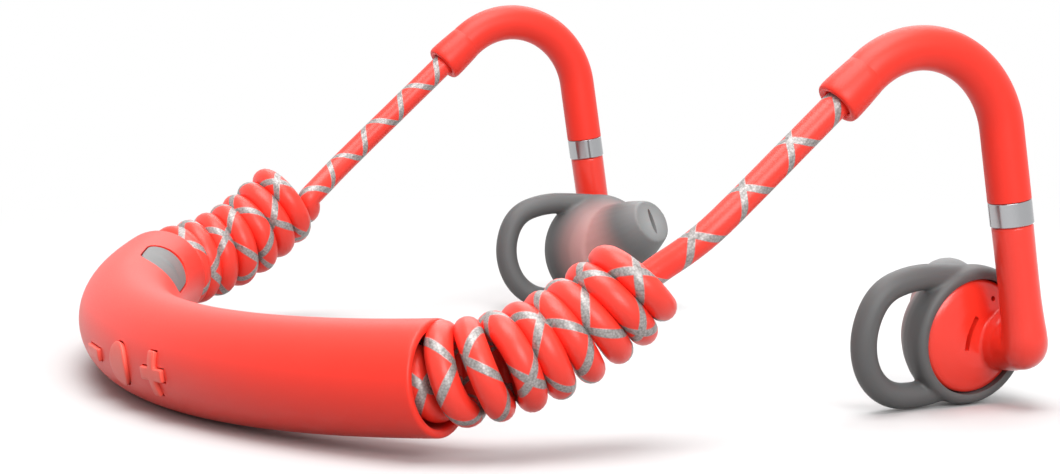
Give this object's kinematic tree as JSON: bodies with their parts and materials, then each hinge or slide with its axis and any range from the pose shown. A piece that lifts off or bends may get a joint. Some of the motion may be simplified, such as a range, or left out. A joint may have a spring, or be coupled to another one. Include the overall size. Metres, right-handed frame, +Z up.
{
  "type": "neckband earphones",
  "caption": "Wireless sport earphones: a curved tube neckband, coiled stretch cords, over-ear hooks and earbuds with fin loops.",
  "frame": {"origin": "on the resting plane, under the middle of the neckband and ear hooks seen from above", "axes": "+X to the wearer's right, +Y forward (towards the earbuds), +Z up"},
  "size_m": [0.1372, 0.1112, 0.0508],
  "materials": {
    "coral_silicone": "matte silicone skin",
    "coral_button": "matte silicone",
    "coral_plastic": "moulded, satin gloss",
    "grey_silicone": "matte silicone",
    "flap_silicone": "matte silicone",
    "bright_metal": "polished",
    "woven_cord": "rubbery cord with reflective woven stripes",
    "inner_tube": "moulded",
    "steel": "plain",
    "dark_plastic": "moulded",
    "cell_can": "drawn can",
    "circuit_board": "solder mask",
    "chip": "moulded",
    "lens": "clear",
    "magnet": "nickel plate",
    "copper": "enamelled wire",
    "film": "thin film",
    "steel_mesh": "woven mesh"
  },
  "bodies": {
    "root": {"neckband_sleeve": "coral_silicone", "chassis_upper": "dark_plastic", "chassis_lower": "dark_plastic", "chassis_screws": "steel", "main_board": "circuit_board", "tact_switches": "chip", "radio_module": "chip", "battery_cell": "cell_can", "charge_port": "steel", "status_light": "lens", "microphone": "chip", "end_plug_left": "dark_plastic", "end_plug_right": "dark_plastic", "coil_inner_left": "woven_cord", "coil_inner_right": "woven_cord"},
    "plus_button": {"button_plus": "coral_button"},
    "play_button": {"button_play": "coral_button"},
    "minus_button": {"button_minus": "coral_button"},
    "port_flap": {"port_cover": "flap_silicone"},
    "coil_right": {"coil_outer_right": "woven_cord"},
    "arm_right": {"straight_cord_right": "woven_cord", "hook_sleeve_right": "coral_silicone", "hook_core_right": "inner_tube", "hook_spring_wire_right": "steel", "ring_collar_right": "bright_metal", "bud_back_cup_right": "coral_plastic", "bud_front_cup_right": "coral_plastic", "driver_frame_right": "dark_plastic", "driver_magnet_right": "magnet", "voice_coil_right": "copper", "diaphragm_right": "film", "nozzle_mesh_right": "steel_mesh", "ear_adapter_right": "grey_silicone"},
    "coil_left": {"coil_outer_left": "woven_cord"},
    "arm_left": {"straight_cord_left": "woven_cord", "hook_sleeve_left": "coral_silicone", "hook_core_left": "inner_tube", "hook_spring_wire_left": "steel", "ring_collar_left": "bright_metal", "bud_back_cup_left": "coral_plastic", "bud_front_cup_left": "coral_plastic", "driver_frame_left": "dark_plastic", "driver_magnet_left": "magnet", "voice_coil_left": "copper", "diaphragm_left": "film", "nozzle_mesh_left": "steel_mesh", "ear_adapter_left": "grey_silicone"}
  },
  "joints": [
    {"name": "plus_button_press", "type": "slide", "parent": "root", "child": "plus_button", "axis": [-0.1564, 0.9777, 0.14], "range_m": [0, 0.0004], "stiffness_N_per_m": 400},
    {"name": "play_button_press", "type": "slide", "parent": "root", "child": "play_button", "axis": [-0.0488, 0.9887, 0.1416], "range_m": [0, 0.0004], "stiffness_N_per_m": 400},
    {"name": "minus_button_press", "type": "slide", "parent": "root", "child": "minus_button", "axis": [0.0628, 0.9879, 0.1415], "range_m": [0, 0.0004], "stiffness_N_per_m": 400},
    {"name": "port_flap_open", "type": "hinge", "parent": "root", "child": "port_flap", "pos_m": [-0.0386, -0.03199, 0.00959], "axis": [-0.9026, 0.4262, 0.061], "range_deg": [0, 95]},
    {"name": "arm_right_swing", "type": "hinge", "parent": "root", "child": "coil_right", "pos_m": [0.05858, -0.02835, 0.01004], "axis": [0, 0, -1], "range_deg": [-15, 25], "stiffness_Nm_per_rad": 0.03, "deforming": ["coil_inner_right"]},
    {"name": "coil_right_stretch", "type": "slide", "parent": "coil_right", "child": "arm_right", "axis": [0.0106, 0.7612, 0.6484], "range_m": [0, 0.02], "stiffness_N_per_m": 60, "deforming": ["coil_outer_right"]},
    {"name": "arm_left_swing", "type": "hinge", "parent": "root", "child": "coil_left", "pos_m": [-0.05858, -0.02835, 0.01004], "axis": [0, 0, 1], "range_deg": [-15, 25], "stiffness_Nm_per_rad": 0.03, "deforming": ["coil_inner_left"]},
    {"name": "coil_left_stretch", "type": "slide", "parent": "coil_left", "child": "arm_left", "axis": [-0.0106, 0.7612, 0.6484], "range_m": [0, 0.02], "stiffness_N_per_m": 60, "deforming": ["coil_outer_left"]}
  ]
}
